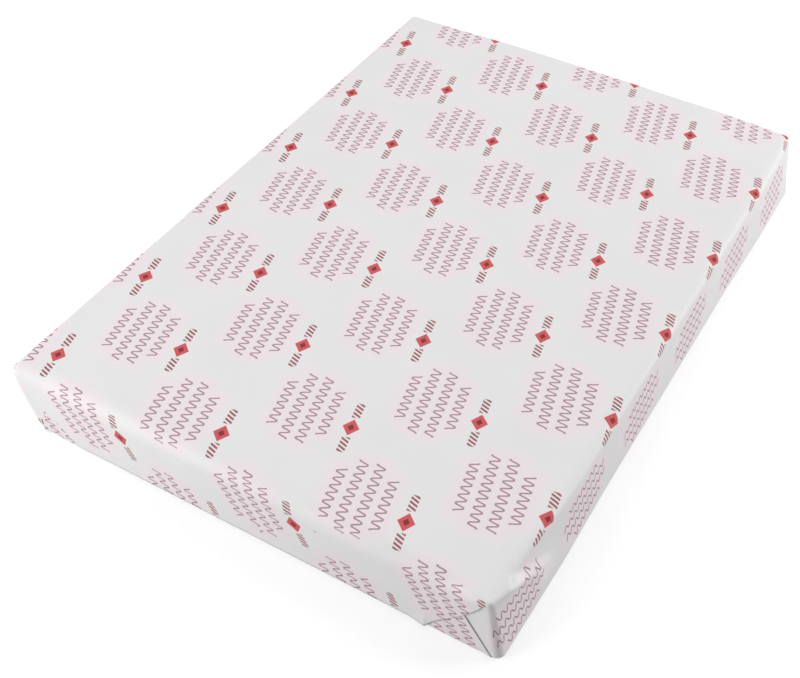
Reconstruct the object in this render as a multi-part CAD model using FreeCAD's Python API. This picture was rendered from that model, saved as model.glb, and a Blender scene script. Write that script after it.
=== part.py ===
import FreeCAD, Part
import math
import os

from FreeCAD import Vector

# A sealed ream of large coated paper in its printed wrapper, in millimetres.
# X runs across the sheets, Y along them and Z up. The origin is under the middle of the pack.
# The wrapper is one sheet of paper, rolled round the stack as a tube along Y, lapped and
# glued along the underside, then tucked and folded flat over both short ends.

# The stack: large sheets, 500 of them, with one thickness of wrapper above and below.
sheet_width = 320.0
sheet_length = 450.0
sheet_count = 500
sheet_thickness = 0.105
wrapper_thickness = 0.25

# How far each folded layer on the ends stands out, air between the folds included.
layer = 0.45
end_layers = 3

pack_width = sheet_width + 2 * wrapper_thickness
pack_length = sheet_length + 2 * end_layers * layer
pack_height = sheet_count * sheet_thickness + 2 * wrapper_thickness
half_width = pack_width / 2
half_length = pack_length / 2

# The stack has slipped: its top lies this much behind its foot, towards -X and -Y.
lean_x = 6.3
lean_y = 1.7

# Rounding of the wrapped edges. The folded top edge of the near end is the softest.
near_edge = 6.0
top_edge = 3.5
foot_edge = 1.8
upright_edge = 3.0

# The folds on an end, seen square on. The sides of the pack were tucked in first, then the
# foot flap came up, and the top flap came down over both and stops just above the foot.
# Each inset is measured in from the upright edge of the pack.
crossing_height = 31.0
hem_height = 2.2
flap_inset_top = 1.5
foot_flap_inset = 5.0

# Inset of the top flap's side where it crosses the foot flap, and at its hem.
flap_insets = {
    "near_right": (18.0, 45.0),
    "near_left": (16.0, 30.0),
    "far_right": (20.0, 42.0),
    "far_left": (20.0, 42.0),
}

# The corner of the top flap that has lifted off the near end.
lifted_side = 9.0
lifted_hem = 11.0
lifted_out = 1.6

# The slack on the long +X side. The wrapper stands off the leaning sheets there: how far its
# top fold stands out from the sheets, and how far it sags, at distances from the near end.
slack_stations = [
    (66.0, -0.4, 1.8),
    (96.0, 4.0, 0.9),
    (150.0, 4.5, 0.8),
    (385.0, 4.4, 0.8),
    (425.0, 2.4, 0.7),
    (449.0, -0.4, 1.0),
]
slack_edge = 3.0
slack_slope = 8.0
slack_root = 14.0

# The ear of slack wrapper at the upper corner at +X, -Y. Its crest stands out from the
# side. Creases run from the crest to the corner, to the top, down to the foot, and slanting
# back over the side to the bend.
ear_out = 5.5
ear_drop = 6.0
ear_place = 22.0
ear_top_end = 48.0
ear_side_end = 62.0
ear_bend = 58.0
ear_bend_drop = 28.0
ear_foot_end = 50.0
ear_foot_tail = 92.0
ear_root = 14.0

# The lap of the wrapper's long edges on the underside. Past the free edge, the layer
# under it comes down to the table over this run.
lap_offset = 34.0
lap_run = 14.0

outside = 6.0


def plate(outline, direction):
    """Solid made by sliding a closed outline along a direction."""
    return Part.Face(outline).extrude(direction)


def outline_through(points):
    """Closed outline of straight edges through the points."""
    return Part.makePolygon(points + points[:1])


def rounded_outline(corners, radii):
    """Closed outline through corners, each one rounded by a tangent arc of its radius."""
    arcs = []
    count = len(corners)
    for i, corner in enumerate(corners):
        to_last = (corners[i - 1] - corner).normalize()
        to_next = (corners[(i + 1) % count] - corner).normalize()
        half_angle = to_last.getAngle(to_next) / 2
        back = radii[i] / math.tan(half_angle)
        bisector = (to_last + to_next).normalize()
        middle = corner + bisector * (radii[i] / math.sin(half_angle) - radii[i])
        arcs.append((corner + to_last * back, middle, corner + to_next * back))
    edges = []
    for i, (start, middle, end) in enumerate(arcs):
        edges.append(Part.Arc(start, middle, end).toShape())
        edges.append(Part.LineSegment(end, arcs[(i + 1) % count][0]).toShape())
    return Part.Wire(edges)


def lean_at(height):
    """How far the pack stands off its top's place, at a height above the foot."""
    share = 1 - height / pack_height
    return Vector(lean_x * share, lean_y * share, 0)


def across_solid():
    """The pack's section across the sheets, run through more than its length."""
    corners = [
        Vector(-half_width, -pack_length, 0) + lean_at(0),
        Vector(half_width, -pack_length, 0) + lean_at(0),
        Vector(half_width, -pack_length, pack_height),
        Vector(-half_width, -pack_length, pack_height),
    ]
    for corner in corners:
        corner.y = -pack_length
    outline = rounded_outline(corners, [foot_edge, foot_edge, top_edge, top_edge])
    return plate(outline, Vector(0, 2 * pack_length, 0))


def along_solid():
    """The pack's section along the sheets, run through more than its width."""
    corners = [
        Vector(0, -half_length, 0) + lean_at(0),
        Vector(0, half_length, 0) + lean_at(0),
        Vector(0, half_length, pack_height),
        Vector(0, -half_length, pack_height),
    ]
    for corner in corners:
        corner.x = -pack_width
    outline = rounded_outline(corners, [foot_edge, foot_edge, top_edge, near_edge])
    return plate(outline, Vector(2 * pack_width, 0, 0))


def plan_solid():
    """The pack seen from above with rounded upright edges, slid up along its lean."""
    corners = [
        Vector(-half_width, -half_length, 0) + lean_at(0),
        Vector(half_width, -half_length, 0) + lean_at(0),
        Vector(half_width, half_length, 0) + lean_at(0),
        Vector(-half_width, half_length, 0) + lean_at(0),
    ]
    outline = rounded_outline(corners, [upright_edge] * 4)
    return plate(outline, Vector(0, 0, pack_height) - lean_at(0))


def wrapped_block():
    """The leaning block of wrapped sheets with all its edges rounded."""
    return across_solid().common(along_solid()).common(plan_solid())


def slack_section(along, out, sag):
    """Outline of the slack across the +X side, at a distance from the near end."""
    y = along - half_length
    foot_z = foot_edge + 0.4
    corners = [
        Vector(half_width - slack_root, y, foot_z),
        Vector(half_width + lean_at(foot_z).x - 0.1, y, foot_z),
        Vector(half_width + out, y, pack_height - sag),
        Vector(half_width - slack_slope, y, pack_height - 0.2),
        Vector(half_width - slack_root, y, pack_height - slack_slope),
    ]
    return rounded_outline(corners, [0.5, 0.5, slack_edge, 0.5, 0.5])


def slack_side():
    """The wrapper standing off the sheets along the upper part of the +X side."""
    sections = [slack_section(*station) for station in slack_stations]
    return Part.makeLoft(sections, True, True)


def faceted_solid(points, facets):
    """Closed solid with flat facets, each one a list of names of points."""
    faces = [Part.Face(outline_through([points[name] for name in facet])) for facet in facets]
    solid = Part.Solid(Part.Shell(faces))
    solid.fix(0.001, 0.001, 0.001)
    if solid.Volume < 0:
        solid.reverse()
    return solid


def slack_ear():
    """The ear of slack wrapper that stands out beside the near right upper corner."""
    face_x = half_width + ear_out
    near_y = -half_length
    top_z = pack_height - 0.6
    foot_z = foot_edge + 0.4
    root_x = half_width - ear_root
    root_y = near_y + ear_root / 2
    root_z = pack_height - ear_root / 2
    points = {
        "corner": Vector(half_width - 1.0, near_y + 1.2, top_z),
        "crest": Vector(face_x, near_y + ear_place, pack_height - ear_drop),
        "top": Vector(half_width - 5.0, near_y + ear_top_end, top_z),
        "side": Vector(half_width + 0.6, near_y + ear_side_end, pack_height - 9.0),
        "bend": Vector(face_x, near_y + ear_bend, pack_height - ear_bend_drop),
        "foot_tail": Vector(face_x + 0.2, near_y + ear_foot_tail, foot_z),
        "foot_back": Vector(face_x + 0.2, near_y + ear_foot_end, foot_z),
        "foot_front": Vector(face_x + 0.2, near_y + lean_y + 2.0, foot_z),
        "root_corner": Vector(root_x, root_y, root_z),
        "root_top": Vector(root_x, near_y + ear_top_end, root_z),
        "root_back": Vector(root_x, near_y + ear_foot_tail, foot_z),
        "root_front": Vector(root_x, root_y, foot_z),
    }
    facets = [
        ["corner", "crest", "top"],
        ["crest", "side", "top"],
        ["crest", "bend", "side"],
        ["crest", "foot_back", "bend"],
        ["bend", "foot_back", "foot_tail"],
        ["bend", "foot_tail", "side"],
        ["foot_front", "foot_back", "crest"],
        ["corner", "foot_front", "crest"],
        ["corner", "root_corner", "foot_front"],
        ["root_corner", "root_front", "foot_front"],
        ["corner", "top", "root_corner"],
        ["top", "root_top", "root_corner"],
        ["top", "side", "root_top"],
        ["side", "foot_tail", "root_back"],
        ["side", "root_back", "root_top"],
        ["foot_front", "root_front", "root_back", "foot_tail", "foot_back"],
        ["root_corner", "root_top", "root_back", "root_front"],
    ]
    return faceted_solid(points, facets)


def end_point(end, side, inset, height, depth):
    """A point on an end of the pack, a depth under its outer face.

    end is -1 for the near end and 1 for the far one, and side is 1 for right, -1 for left.
    """
    place = Vector(side * (half_width - inset), end * (half_length - depth), height)
    return place + lean_at(height)


def end_slab(end, corners, depth):
    """What lies over a region of one end, down to a depth under the outermost layer."""
    floor = [end_point(end, side, inset, height, depth) for side, inset, height in corners]
    return plate(outline_through(floor), Vector(0, end * outside, 0))


def tuck_recess(end, side, crossing_inset):
    """Over the tucked side of the wrapper, which shows as a triangle at the upright edge."""
    corners = [
        (side, -outside, pack_height + 1),
        (side, flap_inset_top, pack_height),
        (side, crossing_inset, crossing_height),
        (side, foot_flap_inset, 0),
        (side, -outside, 0),
    ]
    return end_slab(end, corners, 2 * layer)


def foot_flap_recess(end, right, left, lifted):
    """Over the foot flap, which shows beside and below the top flap."""
    hem = [(1, right[1], hem_height)]
    if lifted:
        hem = [
            (1, right[1] - lifted_side * 0.7, hem_height + lifted_side * 0.7),
            (1, right[1] + lifted_hem, hem_height),
        ]
    corners = [
        (1, foot_flap_inset, 0),
        (1, right[0], crossing_height),
        *hem,
        (-1, left[1], hem_height),
        (-1, left[0], crossing_height),
        (-1, foot_flap_inset, 0),
        (-1, foot_flap_inset, -1),
        (1, foot_flap_inset, -1),
    ]
    return end_slab(end, corners, layer)


def lifted_corner(right):
    """The corner of the near top flap that has come unstuck, one layer thick."""
    on_side = end_point(-1, 1, right[1] - lifted_side * 0.7, hem_height + lifted_side * 0.7, 0)
    on_hem = end_point(-1, 1, right[1] + lifted_hem, hem_height, 0)
    tip = end_point(-1, 1, right[1], hem_height, -lifted_out)
    return plate(outline_through([on_side, on_hem, tip]), Vector(0, layer, 0))


def lap_recess():
    """The long sliver of air beside the free edge of the lap, on the underside."""
    edge_x = lean_x + lap_offset
    corners = [
        Vector(edge_x, -pack_length, -1),
        Vector(edge_x, -pack_length, layer),
        Vector(edge_x + lap_run, -pack_length, 0),
        Vector(edge_x + lap_run, -pack_length, -1),
    ]
    return plate(outline_through(corners), Vector(0, 2 * pack_length, 0))


def fold_recesses():
    """Everything that the folds leave open under the outermost layer of both ends."""
    recesses = []
    for end, name in ((-1, "near"), (1, "far")):
        right = flap_insets[name + "_right"]
        left = flap_insets[name + "_left"]
        recesses.append(tuck_recess(end, 1, right[0]))
        recesses.append(tuck_recess(end, -1, left[0]))
        recesses.append(foot_flap_recess(end, right, left, end < 0))
    return recesses


def stood_on_origin(shape):
    """The shape moved so that the middle of its box's underside is at the origin."""
    box = shape.optimalBoundingBox(False)
    shape.translate(Vector(-box.Center.x, -box.Center.y, -box.ZMin))
    return shape


def wrapped_ream():
    """The sealed pack as one solid."""
    pack = wrapped_block().fuse([slack_side(), slack_ear()])
    for recess in fold_recesses():
        pack = pack.cut(recess)
    pack = pack.cut(lap_recess())
    pack = pack.fuse(lifted_corner(flap_insets["near_right"]))
    return stood_on_origin(pack.removeSplitter())


if __name__ == "__main__":
    os.makedirs("parts", exist_ok=True)
    pack = wrapped_ream()
    pack.exportStep("parts/wrapped_ream.step")
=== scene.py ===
import math

import bmesh
import bpy
import numpy as np
from mathutils import Matrix, Vector, noise


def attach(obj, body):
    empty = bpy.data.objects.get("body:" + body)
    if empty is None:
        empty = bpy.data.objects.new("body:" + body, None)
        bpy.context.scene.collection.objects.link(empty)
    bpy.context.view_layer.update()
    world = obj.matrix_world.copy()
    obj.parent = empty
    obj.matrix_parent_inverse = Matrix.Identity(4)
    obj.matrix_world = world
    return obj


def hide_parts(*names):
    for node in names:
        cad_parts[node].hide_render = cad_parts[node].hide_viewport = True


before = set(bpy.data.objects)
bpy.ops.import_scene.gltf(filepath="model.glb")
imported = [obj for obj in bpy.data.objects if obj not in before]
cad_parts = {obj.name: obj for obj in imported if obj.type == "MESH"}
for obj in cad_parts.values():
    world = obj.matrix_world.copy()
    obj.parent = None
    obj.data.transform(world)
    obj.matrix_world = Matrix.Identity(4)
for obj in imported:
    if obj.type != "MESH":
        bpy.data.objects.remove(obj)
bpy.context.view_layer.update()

# The stack of sheets.
# Five hundred large coated sheets, squared up and then slipped a little, so that the pack
# leans. Nothing shows them; they give the wrapper its size, its lean and its flat faces.
half_width = 0.16025
half_length = 0.22635
stack_height = 0.053
top_middle = Vector((-0.003257, -0.000829))
lean_x = 0.0063
lean_y = 0.0017


def leaned(place):
    """Leans points with the stack: each layer lies a little further over the lower it is."""
    share = 1 - place[..., 2] / stack_height
    place[..., 0] += top_middle.x + lean_x * share
    place[..., 1] += top_middle.y + lean_y * share
    return place


# The folds along the stack's edges.
# The paper was drawn tight and creased by hand over each edge of the stack. It is sharp at the
# foot, soft along the near end's top fold, and rounder at the upright edges of the corners.
foot_radius = 0.0018
tight_height = 0.030
long_edge_radius = 0.0034
end_edge_radius = 0.0105
soft_fold_starts = 0.030
soft_fold_full = 0.012
soft_fold_low = 0.034
soft_fold_high = 0.044
soft_fold_corner = 0.002
soft_fold_inwards = 0.030
near_right_foot = 0.0034
near_right_top = -0.0008
near_left_foot = 0.0038
near_left_top = 0.0026
far_right_round = 0.0010
corner_reach = 0.020
corner_full = 0.008


def eased(value, start, end):
    """0 before start and 1 after end, with a soft rise between them."""
    share = np.clip((value - start) / (end - start), 0, 1)
    return share * share * (3 - 2 * share)


def edge_radius(x, y, z):
    """Rounding of the nearest edge: tight at the foot, softer on the near end's top fold."""
    radius = foot_radius + (long_edge_radius - foot_radius) * eased(z, 0, tight_height)
    near_top = eased(-y, half_length - soft_fold_starts, half_length - soft_fold_full)
    near_top = near_top * eased(z, soft_fold_low, soft_fold_high)
    inwards = eased(half_width - np.abs(x), soft_fold_corner, soft_fold_inwards)
    return radius + (end_edge_radius - long_edge_radius) * near_top * inwards


def upright_radius(x, y, z):
    """Extra rounding of three upright edges. The near right one sharpens towards its top."""
    near = eased(-y, half_length - corner_reach, half_length - corner_full)
    far = eased(y, half_length - corner_reach, half_length - corner_full)
    right = eased(x, half_width - corner_reach, half_width - corner_full)
    left = eased(-x, half_width - corner_reach, half_width - corner_full)
    level = z / stack_height
    near_right = near_right_foot + (near_right_top - near_right_foot) * level
    near_left = near_left_foot + (near_left_top - near_left_foot) * level
    return near * (right * near_right + left * near_left) + far * right * far_right_round


# The slack on the long right side.
# The wrapper is loose there and stands off the leaning sheets at the top. Beside the near
# corner the end folds pushed the slack out into an ear: a ridge slants down from its crest
# over the side, with a dent behind it and a flat facet before it. The foot bulges a little too.
ear_out = 0.0050
ear_drop = 0.0012
ear_place = 0.0140
ear_foot = 0.052
ear_swell = 1.6
ridge_lean = 1.42
ridge_fall = 0.008
top_fall = 0.009
top_fall_depth = 0.008
ridge_fades = 0.022
ridge_end = 0.036
crease_reach = 0.0385
crease_depth = 0.019
dent_share = 0.75
dent_past = 0.010
dent_reach = 0.030

# Distances from the near end, and how far the side stands out there at the top.
slack_along = (0, 0.030, 0.095, 0.150, 0.385, 0.425, 0.4527)
slack_out = (0, 0.0034, 0.0044, 0.0046, 0.0044, 0.0024, 0)

# How far the top's edge sinks and where, and how far in it is stretched and slopes.
sag_rest = 0.0008
sag_end = 0.030
sag_far_start = 0.400
sag_far_end = 0.450
stretch_reach = 0.040
slope_reach = 0.006

# The same for the foot.
foot_along = (0, 0.030, 0.075, 0.130, 0.330, 0.390, 0.4527)
foot_out = (0, 0.0004, 0.0009, 0, 0, 0.0010, 0.0008)
foot_reach = 0.020

# Lengths shorter than a hair count as none.
hair = 1e-6


def side_slack(along, level):
    """Outward slack of the right side at a distance from the near end and a share of the height."""
    depth = (1 - level) * stack_height
    ridge = ear_place + depth * ridge_lean
    crease = ear_place + crease_reach * (1 - np.exp(-depth / crease_depth))
    crease = np.minimum(crease, ridge)
    dent = dent_share * np.exp(-((along - ridge - dent_past) / dent_reach) ** 2)
    base = np.interp(along, slack_along, slack_out) * level * (1 - dent)
    height = ear_out * (1 - np.clip(depth / ear_foot, 0, 1) ** ear_swell)
    at_ridge = base + (height - base) * (1 - eased(depth, ridge_fades, ridge_end))
    facet = height * np.clip(along / crease, 0, 1)
    between = np.clip((along - crease) / np.maximum(ridge - crease, hair), 0, 1)
    middle = height + (at_ridge - height) * between
    width = top_fall + (ridge_fall - top_fall) * eased(depth, 0, top_fall_depth)
    behind = base + (at_ridge - base) * (1 - eased(along, ridge, ridge + width))
    return np.where(along < crease, facet, np.where(along < ridge, middle, behind))


def slack_shift(x, y, z):
    """How far the slack moves the sheet outwards and downwards."""
    along = y + half_length
    level = np.clip(z / stack_height, 0, 1)
    edge = side_slack(along, np.ones(along.shape))
    sag = ear_drop * eased(along, 0, ear_place) * (1 - eased(along, ear_place, sag_end))
    rest = sag_rest * eased(along, ear_place, sag_end)
    sag = sag + rest * (1 - eased(along, sag_far_start, sag_far_end))
    upper = z > stack_height - hair
    side = x > half_width - hair
    stretched = np.clip((x - half_width + stretch_reach) / stretch_reach, 0, 1)
    sloped = np.clip((x - half_width + slope_reach) / slope_reach, 0, 1)
    outwards = np.where(upper, edge * stretched, side_slack(along, level) * side)
    bulge = np.interp(along, foot_along, foot_out) * (1 - level)
    outwards = outwards + bulge * np.clip((x - half_width + foot_reach) / foot_reach, 0, 1)
    downwards = np.where(upper, sag * sloped, sag * level * side)
    return outwards, downwards


# The near left corner and the far end of the top.
# The folds behind the near left corner hold the paper a little off the sheets. Along the far
# end the top sheets bow up slightly, and they sink towards the far right corner.
puff_side = 0.0022
puff_end = 0.0018
puff_side_reach = 0.040
puff_end_reach = 0.034
puff_band = 0.020
puff_fullness = 0.8
bow_up = 0.0020
bow_middle = -0.050
bow_width = 0.090
bow_reach = 0.110
corner_down = 0.0022
corner_down_reach = 0.060


def corner_puff(x, y, z):
    """How far the near left corner stands out, over the side and over the end."""
    height = np.sin(math.pi * np.clip(z / stack_height, 0, 1)) ** puff_fullness
    over_side = (1 - np.clip((y + half_length) / puff_side_reach, 0, 1)) ** 2
    over_end = (1 - np.clip((x + half_width) / puff_end_reach, 0, 1)) ** 2
    sidewards = puff_side * height * over_side * (x < -half_width + puff_band)
    endwards = puff_end * height * over_end * (y < -half_length + puff_band)
    return sidewards, endwards


def top_bow(x, y, z):
    """How far the upper part stands above the level of the stack."""
    level = np.clip(z / stack_height, 0, 1)
    up = bow_up * np.exp(-((x - bow_middle) / bow_width) ** 2)
    down = corner_down * eased(x, half_width - corner_down_reach, half_width)
    return level * (up - down) * eased(y, half_length - bow_reach, half_length)


# The waviness of the wrapping paper.
# Thin paper never lies quite flat: it cockles with the damp and is pulled into short waves at
# the folds. One small buckle shows on the top beside the ear.

# Heights of the waves, their swings in a metre over and along the sheet, and the slice of the
# noise that they are taken from.
broad_wave = 0.00045
broad_swings = (14, 9)
broad_slice = 3.1
short_wave = 0.00014
short_swings = (34, 26)
short_slice = 7.7
fold_wave = 0.00060
fold_swings = (30, 12)
fold_slice = (4.2, 1.3)
fold_wave_place = 0.004
fold_wave_reach = 0.014

# The buckle.
buckle_height = 0.0006
buckle_across = 0.1445
buckle_along = -0.186
buckle_width = 0.0022
buckle_length = 0.012
buckle_turn = math.radians(25)


def swell(s, t, swings, slice_height):
    """Smooth noise with this many swings in a metre over and along the sheet."""
    return noise.noise(Vector((s * swings[0], t * swings[1], slice_height)))


def cockle(across, along):
    """Height of the sheet's own waves at places on the flat sheet."""
    waves = np.empty(across.shape)
    for i, (s, t) in enumerate(zip(across.ravel(), along.ravel())):
        broad = swell(s, t, broad_swings, broad_slice)
        short = swell(s, t, short_swings, short_slice)
        pulled = noise.noise(Vector((s * fold_swings[0] + t * fold_swings[1], *fold_slice)))
        near_fold = math.exp(-((t + half_length + fold_wave_place) / fold_wave_reach) ** 2)
        waves.ravel()[i] = broad * broad_wave + short * short_wave + pulled * near_fold * fold_wave
    right, far = across - buckle_across, along - buckle_along
    cross = right * math.cos(buckle_turn) + far * math.sin(buckle_turn)
    length = far * math.cos(buckle_turn) - right * math.sin(buckle_turn)
    buckle = np.exp(-(cross / buckle_width) ** 2 - (length / buckle_length) ** 2)
    return waves + buckle * buckle_height


# The paper lies flat at the foot, and waves and draws in a little above it.
flat_height = 0.002
free_height = 0.012
drawn_in = 0.0002


def wrapped(x, y, z, depth, across, along, lift):
    """Lays points of the sharp box round the stack's rounded edges, with its slack and lean."""
    end = half_length - depth
    radius = edge_radius(x, y, z)
    plan = radius + upright_radius(x, y, z)
    core = np.stack([
        np.clip(x, -half_width + plan, half_width - plan),
        np.clip(y, -end + plan, end - plan),
        np.clip(z, radius, stack_height - radius),
    ], axis=-1)
    radii = np.stack([plan, plan, radius], axis=-1)
    out = (np.stack([x, y, z], axis=-1) - core) / radii
    out = out / np.linalg.norm(out, axis=-1, keepdims=True)
    free = eased(z, flat_height, free_height)
    shift = (cockle(across, along) - drawn_in) * free + lift
    place = core + out * (radii + shift[..., None])
    outwards, downwards = slack_shift(x, y, z)
    sidewards, endwards = corner_puff(x, y, z)
    place[..., 0] += outwards - sidewards
    place[..., 1] -= endwards
    place[..., 2] += top_bow(x, y, z) - downwards
    return leaned(place)


# The wrapper: a tube of printed paper.
# One sheet goes round the stack from side to side. Its two side edges lap on the underside,
# where they are glued, with the free edge on the outside.
layer = 0.00030
single_height = 0.043

# Where the lap's free edge lies on the underside, and how the inner layer rises beside it.
lap_edge = 0.034
lap_width = 0.014
lap_run = 0.014
lap_end = 0.012

sheet = bmesh.new()
sheet_uv = sheet.loops.layers.uv.new("sheet")


def layered(z):
    """How deep the tube's ends lie: two layers under the flaps, one at the foot, none on top."""
    return layer * (2 - eased(z, single_height, stack_height) * 2 - (z < hair))


def spread(start, end, step, fine=0.0008, border=0.008):
    """Stations from start to end, close together beside both ends."""
    count = max(2, round((end - start - 2 * border) / step))
    inner = np.linspace(start + border, end - border, count + 1)
    edge = np.linspace(0, border, round(border / fine) + 1)[:-1]
    return np.concatenate([start + edge, inner, end - edge[::-1]])


def add_grid(places, across, along):
    """Adds a grid of four-sided cells to the sheet, with its place on the flat sheet."""
    rows, columns = across.shape
    verts = [sheet.verts.new(place) for place in places.reshape(-1, 3)]
    flat = np.stack([across, along], axis=-1).reshape(-1, 2)
    for row in range(rows - 1):
        for column in range(columns - 1):
            first = row * columns + column
            ring = (first, first + 1, first + columns + 1, first + columns)
            face = sheet.faces.new([verts[i] for i in ring])
            face.smooth = True
            for loop, i in zip(face.loops, ring):
                loop[sheet_uv].uv = flat[i]


# The stations stand closest round the ear, and widest on the flat underside.
wide_step = 0.012
plain_step = 0.006
close_step = 0.002
ear_part_x = 0.110
ear_part_y = -0.125
station_digits = 5

top_x = np.unique(np.concatenate([
    spread(-half_width, half_width, plain_step),
    spread(ear_part_x, half_width, close_step),
]).round(station_digits))
side_z = spread(0, stack_height, close_step)
tube_y = np.unique(np.concatenate([
    spread(-half_length, half_length, plain_step),
    spread(-half_length, ear_part_y, close_step),
]).round(station_digits))
foot_x = spread(-half_width, half_width, wide_step)
left_foot_x = np.unique(np.append(foot_x[foot_x < lap_edge], lap_edge))
right_foot_x = np.append(foot_x[foot_x > lap_edge], [lap_edge, lap_edge + lap_run])
right_foot_x = np.unique(np.append(right_foot_x, lap_edge - lap_width))

# Stations round the tube, from the free edge of the lap over the left side and the top.
round_x = np.concatenate([
    left_foot_x[::-1],
    np.full(len(side_z) - 2, -half_width),
    top_x,
    np.full(len(side_z) - 2, half_width),
    right_foot_x[::-1],
])
round_z = np.concatenate([
    np.zeros(len(left_foot_x)),
    side_z[1:-1],
    np.full(len(top_x), stack_height),
    side_z[1:-1][::-1],
    np.zeros(len(right_foot_x)),
])
round_inner = np.arange(len(round_x)) >= len(round_x) - len(right_foot_x)
round_depth = layered(round_z)

# The distance over the sheet at each station, counted from the middle of the top.
girth = np.concatenate([[0], np.cumsum(np.hypot(np.diff(round_x), np.diff(round_z)))])
first_top = len(left_foot_x) + len(side_z) - 2
girth = girth - np.interp(0, top_x, girth[first_top:first_top + len(top_x)])


def tube():
    """The tube, from its near end to the far one, with the inner layer of the lap raised."""
    shape = (len(tube_y), len(round_x))
    x = np.broadcast_to(round_x, shape)
    z = np.broadcast_to(round_z, shape)
    depth = np.broadcast_to(round_depth, shape)
    across = np.broadcast_to(girth, shape)
    along = np.broadcast_to(tube_y[:, None], shape)
    y = along * (half_length - depth) / half_length
    covered = np.clip((lap_edge + lap_run - x) / lap_run, 0, 1) * round_inner
    fades = eased(np.abs(along), half_length - lap_end, half_length) * (x > lap_edge)
    raised = layer * covered * (1 - fades)
    add_grid(wrapped(x, y, z, depth, across, along, -raised), across, along)


tube()

# The tucked sides.
# At each end the two sides of the tube were pushed in first, flat against the stack. Each
# shows as a triangle beside the upright edge, between the two flaps.
tuck_length = 0.026
tuck_step = 0.003
tuck_in = spread(0, tuck_length, tuck_step)
sunk_start = 0.004
sunk_full = 0.010
sunk_height = 0.030


def tuck(end, side):
    """One side of the tube turned in over one end."""
    shape = (len(side_z), len(tuck_in))
    inset = np.broadcast_to(tuck_in, shape)
    z = np.broadcast_to(side_z[:, None], shape)
    depth = layered(z)
    x = side * (half_width - inset)
    y = end * (half_length - depth)
    across = side * (half_width + stack_height - z)
    along = end * (half_length + inset)
    sunk = -2 * layer * eased(inset, sunk_start, sunk_full) * eased(z, sunk_height, stack_height)
    add_grid(wrapped(x, y, z, depth, across, along, sunk), across, along)


for end in (-1, 1):
    for side in (-1, 1):
        tuck(end, side)

# The foot flaps.
# The underside of the tube comes up over each end next. Its sides are folded in at a slant
# over the tucked sides, so it narrows as it rises.
foot_inset = 0.005
crossing_inset = 0.018
crossing_height = 0.031
foot_flap_height = 0.040
foot_flap_rows = 22
corner_sliver = 1e-5
foot_lift = 0.00022
foot_lift_reach = 0.003
foot_slant_share = 0.4


def foot_flap(end):
    """The underside of the tube turned up over one end."""
    x_line = foot_x[np.abs(foot_x) < half_width - foot_inset]
    corner = half_width - foot_inset - corner_sliver
    x_line = np.concatenate([[-corner], x_line, [corner]])
    inset_line = half_width - np.abs(x_line)
    slant = (inset_line - foot_inset) * crossing_height / (crossing_inset - foot_inset)
    reach = np.minimum(slant, foot_flap_height)
    share = np.linspace(0, 1, foot_flap_rows)[:, None]
    shape = (len(share), len(x_line))
    z = share * reach
    x = np.broadcast_to(x_line, shape)
    free = (reach - z) * foot_slant_share
    lift = foot_lift * np.exp(-free / foot_lift_reach) * (slant < foot_flap_height)
    depth = np.full(shape, layer)
    y = end * (half_length - depth)
    across = np.sign(x) * (2 * half_width + stack_height - np.abs(x))
    along = end * (half_length + z)
    add_grid(wrapped(x, y, z, depth, across, along, lift), across, along)


foot_flap(-1)
foot_flap(1)

# The top flaps.
# The top of the tube comes down last, over both, and is held by spots of glue. Its slanted
# sides are pressed flat, its hem stands off a little, and one corner of the near flap has lifted.
hem_height = 0.0022
flap_inset_top = 0.0015

# Insets of the slanted sides at the crossing and at the hem, for the right side and the left.
near_flap = {1: (0.018, 0.045), -1: (0.016, 0.030)}
far_flap = {1: (0.020, 0.042), -1: (0.020, 0.042)}

# Rows of the grid over the crease at the top, and below it.
crease_share = 0.2
crease_rows = 10
flap_rows = 24

# How far the sides are pressed in and the hem stands off, and the corner that has lifted.
side_lift = -0.0001
hem_lift = 0.0003
edge_lift_reach = 0.004
top_slant_share = 0.7
lift_starts = 0.001
lift_full = 0.012
lifted_reach = 0.009
lifted_out = 0.0014
lifted_across = 0.8
lifted_up = 0.9
lifted_curl = 1.3


def flap_side(side_inset, at_crossing, at_hem):
    """Height of the flap's slanted side at an inset from the upright edge."""
    insets = [flap_inset_top, at_crossing, at_hem]
    return np.interp(side_inset, insets, [stack_height, crossing_height, hem_height])


def top_flap(end, insets):
    """The top of the tube turned down over one end."""
    corner = half_width - flap_inset_top
    x_line = np.concatenate([[-corner], top_x[np.abs(top_x) < corner], [corner]])
    right = flap_side(half_width - x_line, *insets[1])
    left = flap_side(half_width + x_line, *insets[-1])
    foot = np.maximum(np.maximum(right, left), hem_height)
    over_crease = np.linspace(0, crease_share, crease_rows)[:-1]
    share = np.concatenate([over_crease, np.linspace(crease_share, 1, flap_rows)])[:, None]
    shape = (len(share), len(x_line))
    x = np.broadcast_to(x_line, shape)
    z = stack_height - share * (stack_height - foot)
    slanted = foot > hem_height + hair
    free = (z - foot) * np.where(slanted, top_slant_share, 1.0)
    lift = np.where(slanted, side_lift, hem_lift) * np.exp(-free / edge_lift_reach)
    lift = lift * eased(stack_height - z, lift_starts, lift_full)
    if end < 0:
        tip_x = half_width - insets[1][1]
        past_fold = lifted_reach - np.abs(x - tip_x) * lifted_across
        past_fold = past_fold - (z - hem_height) * lifted_up
        lift = lift + lifted_out * np.clip(past_fold / lifted_reach, 0, 1) ** lifted_curl
    depth = np.zeros(shape)
    y = np.full(shape, end * half_length)
    along = end * (half_length + stack_height - z)
    add_grid(wrapped(x, y, z, depth, x, along, lift), x, along)


top_flap(-1, near_flap)
top_flap(1, far_flap)

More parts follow.
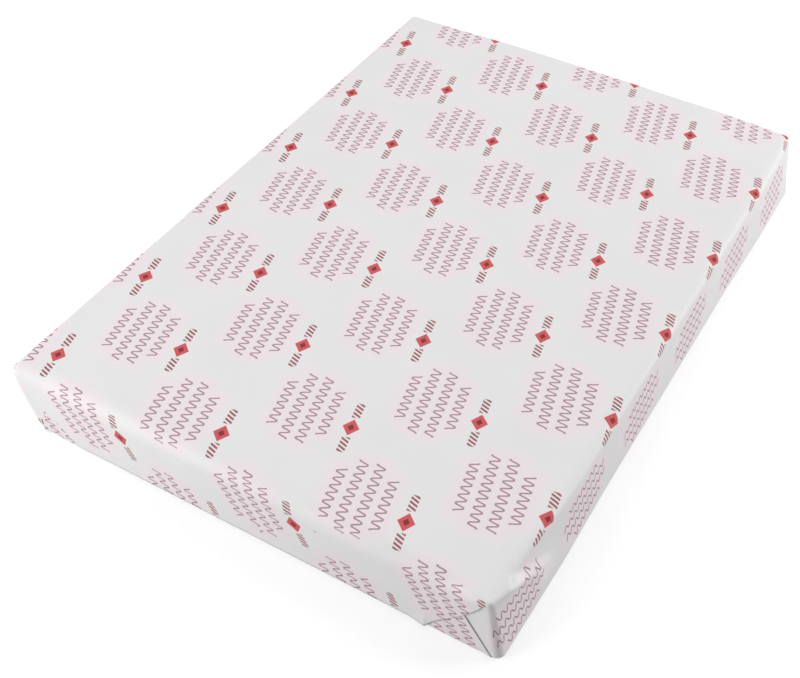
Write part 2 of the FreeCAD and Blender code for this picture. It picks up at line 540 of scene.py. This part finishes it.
# The sheet is welded along its folds into one piece and given the paper's thickness.
paper_thickness = 0.00014
weld_distance = 2e-6
bmesh.ops.remove_doubles(sheet, verts=sheet.verts, dist=weld_distance)
bmesh.ops.recalc_face_normals(sheet, faces=sheet.faces)
wrapper_mesh = bpy.data.meshes.new("printed_wrapper")
sheet.to_mesh(wrapper_mesh)
sheet.free()
wrapper = bpy.data.objects.new("printed_wrapper", wrapper_mesh)
bpy.context.scene.collection.objects.link(wrapper)
thickness = wrapper.modifiers.new("paper thickness", "SOLIDIFY")
thickness.thickness = paper_thickness
thickness.offset = -1
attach(wrapper, "root")
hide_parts("wrapped_ream")


# The wrapper's paper and print.
# White coated paper, smooth with a low gloss, printed all over with groups of fine dusty rose
# waves on a blush ground, and with red lozenges between short maroon hatched bars.
class Ink:
    """A socket of a material's nodes. Sums and products of sockets add their own nodes."""

    def __init__(self, tree, socket=None):
        self.tree = tree
        self.socket = socket

    def node(self, kind, settings=None, values=None, output=0):
        """Adds a node of a type, with its settings and the values or links of its sockets."""
        made = self.tree.nodes.new(kind)
        for name, value in (settings or {}).items():
            setattr(made, name, value)
        for name, value in (values or {}).items():
            if isinstance(value, Ink):
                value.into(made, name)
            else:
                made.inputs[name].default_value = value
        return Ink(self.tree, made.outputs[output])

    def into(self, node, name):
        """Links the socket to an input of a node."""
        self.tree.links.new(self.socket, node.inputs[name])

    def maths(self, operation, *others):
        """Works on the socket's number, with up to two other numbers or sockets."""
        values = {i + 1: other for i, other in enumerate(others)}
        return self.node("ShaderNodeMath", {"operation": operation}, {0: self, **values})

    def __add__(self, other):
        return self.maths("ADD", other)

    __radd__ = __add__

    def __mul__(self, other):
        return self.maths("MULTIPLY", other)

    __rmul__ = __mul__

    def __sub__(self, other):
        return self.maths("SUBTRACT", other)

    def __rsub__(self, other):
        return self * -1 + other

    def __truediv__(self, other):
        return self.maths("DIVIDE", other)

    def __abs__(self):
        return self.maths("ABSOLUTE")

    def below(self, limit, soft):
        """1 where the value is under the limit, with an edge this soft."""
        ramp = {"interpolation_type": "SMOOTHSTEP"}
        ends = {"Value": self, "From Min": limit + soft, "From Max": limit - soft}
        return self.node("ShaderNodeMapRange", ramp, ends)


def rgb(red, green, blue):
    """A colour as linear light, from 0 to 255 values as seen."""
    def linear(value):
        share = value / 255
        return share / 12.92 if share <= 0.04045 else ((share + 0.055) / 1.055) ** 2.4
    return (linear(red), linear(green), linear(blue), 1.0)


def over(base, colour, mask):
    """One colour laid over another where the mask is 1."""
    mix = {"data_type": "RGBA"}
    return mask.node("ShaderNodeMix", mix, {0: mask, 6: base, 7: colour}, output=2)


paper = bpy.data.materials.new("printed wrapper paper")
paper.use_nodes = True
finish = paper.node_tree.nodes["Principled BSDF"]
place = Ink(paper.node_tree).node("ShaderNodeUVMap", {"uv_map": "sheet"}, output="UV")
millimetres = 1000
across_mm = place.node("ShaderNodeSeparateXYZ", None, {0: place}, output="X") * millimetres
along_mm = place.node("ShaderNodeSeparateXYZ", None, {0: place}, output="Y") * millimetres

# The print runs over the flat sheet in a half-drop repeat, in millimetres from its middle.
repeat_across = 60.0
repeat_along = 78.0
print_slant = math.radians(-13)
print_start = -9
ink_edge = 0.2


def repeat_cell(start_across):
    """Place in one cell of the repeat, turned to the slant of the print."""
    column = ((across_mm - start_across) / repeat_across + 0.5).maths("FLOOR")
    odd = column.maths("FLOORED_MODULO", 2)
    u = across_mm - start_across - column * repeat_across
    v = (along_mm - print_start - odd * (repeat_along / 2)) + repeat_along / 2
    v = v.maths("FLOORED_MODULO", repeat_along) - repeat_along / 2
    lengthwise = v * math.cos(print_slant) + u * math.sin(print_slant)
    crosswise = u * math.cos(print_slant) - v * math.sin(print_slant)
    return lengthwise, crosswise


# Four wavy lines side by side, the middle ones longer, on a blush ground that fades out.
waves_start = 8
wave_places = {-14.7: 17, -4.9: 25, 4.9: 25, 14.7: 17}
wave_pitch = 5.2
wave_swing = 2.4
line_half = 0.52
ground_half = 7.5
ground_fade = 4.5
ground_strength = 0.70


def wave(lengthwise, crosswise, half_run):
    """One wavy line and the ground behind it."""
    turn = 2 * math.pi / wave_pitch
    phase = lengthwise * turn
    bend = crosswise - phase.maths("SINE") * wave_swing
    steep = phase.maths("COSINE") * (wave_swing * turn)
    away = abs(bend) / (steep * steep + 1).maths("SQRT")
    line = away.below(line_half, ink_edge) * abs(lengthwise).below(half_run, ink_edge)
    beside = abs(crosswise).below(ground_half, ground_fade)
    ground = beside * abs(lengthwise).below(half_run + ground_fade, ground_fade)
    return line, ground


waves_length, waves_cross = repeat_cell(waves_start)
line_mask = waves_length * 0
ground_mask = waves_length * 0
for offset, half_run in wave_places.items():
    line, ground = wave(waves_length, waves_cross - offset, half_run)
    line_mask = line_mask.maths("MAXIMUM", line)
    ground_mask = ground_mask.maths("MAXIMUM", ground)

# A lozenge with a dark centre, and a hatched bar before and behind it.
marks_start = 38
bar_place = 12.5
bar_half_run = 5.4
bar_half_width = 2.4
hatch_slant = 0.5
hatch_pitch = 2.7
hatch_half_share = 0.28
hatch_edge = 0.07

mark_length, mark_cross = repeat_cell(marks_start)


def lozenge(half_run, half_across, soft):
    """A lozenge in the middle of the cell."""
    return (abs(mark_length) / half_run + abs(mark_cross) / half_across).below(1, soft)


lozenge_mask = lozenge(half_run=6.0, half_across=5.0, soft=0.05)
centre_mask = lozenge(half_run=2.4, half_across=2.0, soft=0.12)
bar_run = abs(abs(mark_length) - bar_place).below(bar_half_run, ink_edge)
bar_mask = bar_run * abs(mark_cross).below(bar_half_width, ink_edge)
hatch = ((mark_length + mark_cross * hatch_slant) / hatch_pitch).maths("FRACT") - 0.5
bar_mask = bar_mask * abs(hatch).below(hatch_half_share, hatch_edge)

# The sheet's own speckle and cloudiness show through the white, and the ink takes them up.
paper_shade = rgb(225, 224, 224)
paper_white = rgb(232, 231, 231)
blush_ink = rgb(237, 222, 227)
rose_ink = rgb(160, 124, 135)
maroon_ink = rgb(140, 46, 60)
red_ink = rgb(203, 82, 84)
dark_red_ink = rgb(128, 28, 42)
cloud_share = 0.7
bar_strength = 0.9
ink_speckle = 0.12


def mottle(scale, detail, roughness):
    """Noise over the flat sheet, with this many patches to a metre."""
    return place.node("ShaderNodeTexNoise", {"noise_dimensions": "2D"}, {
        "Vector": place, "Scale": scale, "Detail": detail, "Roughness": roughness})


speckle = mottle(scale=900.0, detail=3.0, roughness=0.6)
cloud = mottle(scale=22.0, detail=2.0, roughness=0.5)
white = over(paper_shade, paper_white, cloud * cloud_share + speckle * (1 - cloud_share))
blush = over(white, blush_ink, ground_mask * ground_strength)
rose = over(blush, rose_ink, line_mask * ((1 - ink_speckle) + speckle * ink_speckle))
maroon = over(rose, maroon_ink, bar_mask * bar_strength)
red = over(maroon, red_ink, lozenge_mask)
printed = over(red, dark_red_ink, centre_mask)
printed.into(finish, "Base Color")

# The coating's low gloss, duller on the ink, and the fine ripple of the paper's surface.
coating_roughness = 0.50
speckle_roughness = 0.10
ink_roughness = 0.05
coating_gloss = 0.35
ripple_strength = 0.25
ripple_height = 0.0004
speckle_height = 0.12
ink_mask = line_mask.maths("MAXIMUM", bar_mask).maths("MAXIMUM", lozenge_mask)
roughness = coating_roughness + speckle * speckle_roughness + ink_mask * ink_roughness
roughness.into(finish, "Roughness")
finish.inputs["Specular IOR Level"].default_value = coating_gloss
ripple = mottle(scale=60.0, detail=3.0, roughness=0.55)
grain = ripple.node("ShaderNodeBump", None, {
    "Strength": ripple_strength, "Distance": ripple_height,
    "Height": ripple + speckle * speckle_height})
grain.into(finish, "Normal")
wrapper_mesh.materials.append(paper)

# The pale sweep it lies on.
# A broad matt sheet that shows white to the camera, wholly so away from the pack, and keeps
# the pack's soft shadow near it.
floor_half = 3.0
floor_drop = 0.0001
sweep_grey = rgb(179, 179, 179)
sweep_roughness = 0.9
sweep_gloss = 0.1
far_glow = rgb(255, 255, 255)
near_glow = rgb(210, 210, 210)
near_reach = 0.65
near_fade = 0.25

floor_mesh = bpy.data.meshes.new("floor")
corners = [(-floor_half, -floor_half, 0), (floor_half, -floor_half, 0)]
corners += [(floor_half, floor_half, 0), (-floor_half, floor_half, 0)]
floor_mesh.from_pydata(corners, [], [(0, 1, 2, 3)])
floor = bpy.data.objects.new("floor", floor_mesh)
floor.location.z = -floor_drop
bpy.context.scene.collection.objects.link(floor)

sweep = bpy.data.materials.new("pale sweep")
sweep.use_nodes = True
sweep_finish = sweep.node_tree.nodes["Principled BSDF"]
sweep_finish.inputs["Base Color"].default_value = sweep_grey
sweep_finish.inputs["Roughness"].default_value = sweep_roughness
sweep_finish.inputs["Specular IOR Level"].default_value = sweep_gloss


def looked_at(start):
    """1 for rays from the camera, and for those that it sees in gloss or through glass."""
    seen = start.node("ShaderNodeLightPath", output="Is Camera Ray")
    for kind in ("Is Glossy Ray", "Is Transmission Ray"):
        seen = seen.maths("MAXIMUM", start.node("ShaderNodeLightPath", output=kind))
    return seen


spot = Ink(sweep.node_tree).node("ShaderNodeNewGeometry", output="Position")
away = spot.node("ShaderNodeVectorMath", {"operation": "LENGTH"}, {0: spot}, output="Value")
beside_pack = away.below(near_reach, near_fade)
glow = over(far_glow, near_glow, beside_pack)
shown_glow = over(rgb(0, 0, 0), glow, looked_at(spot))
shown_glow.into(sweep_finish, "Emission Color")
sweep_finish.inputs["Emission Strength"].default_value = 1.0
floor_mesh.materials.append(sweep)

# The studio.
# White walls that give a weak even light from all round, and three broad soft lamps: one low
# at the front left, one low behind on the right, and one high behind on the left.
room_light = 0.3
studio = bpy.data.worlds.new("studio")
studio.use_nodes = True
backdrop = studio.node_tree.nodes["Background"]
backdrop.inputs["Color"].default_value = (1, 1, 1, 1)
strength = looked_at(Ink(studio.node_tree)) * (1 - room_light) + room_light
strength.into(backdrop, "Strength")
bpy.context.scene.world = studio

lamp_side = 0.8


def soft_lamp(name, bearing, height, distance, power):
    """A square lamp aimed at the pack, from a bearing off the right side and an angle up."""
    light = bpy.data.lights.new(name, "AREA")
    light.size = lamp_side
    light.energy = power
    lamp = bpy.data.objects.new(name, light)
    turn, rise = math.radians(bearing), math.radians(height)
    level = math.cos(rise)
    towards = Vector((level * math.cos(turn), level * math.sin(turn), math.sin(rise)))
    lamp.location = towards * distance
    lamp.rotation_mode = "QUATERNION"
    lamp.rotation_quaternion = towards.to_track_quat("Z", "Y")
    lamp.visible_camera = False
    bpy.context.scene.collection.objects.link(lamp)


soft_lamp("front left lamp", bearing=-125, height=20, distance=1.2, power=9.7)
soft_lamp("back right lamp", bearing=34, height=22, distance=1.5, power=13.0)
soft_lamp("high back lamp", bearing=120, height=65, distance=1.5, power=7.5)

# The camera, at the photographer's place.
eye_azimuth = math.radians(28.868)
eye_elevation = math.radians(45.662)
eye_roll = math.radians(0.804)
eye_distance = 0.7816
eye_target = Vector((0.03261, -0.02592, 0))
back = Vector((
    math.sin(eye_azimuth) * math.cos(eye_elevation),
    -math.cos(eye_azimuth) * math.cos(eye_elevation),
    math.sin(eye_elevation),
))
lens = bpy.data.cameras.new("camera")
lens.lens = 53.18
lens.sensor_width = 36
lens.shift_x = -0.088
lens.shift_y = -0.0025
camera = bpy.data.objects.new("camera", lens)
camera.location = eye_target + back * eye_distance
turned = (-back).to_track_quat("-Z", "Y").to_matrix() @ Matrix.Rotation(eye_roll, 3, "Z")
camera.rotation_mode = "QUATERNION"
camera.rotation_quaternion = turned.to_quaternion()
bpy.context.scene.collection.objects.link(camera)
bpy.context.scene.camera = camera

bpy.context.scene.view_settings.view_transform = "Standard"
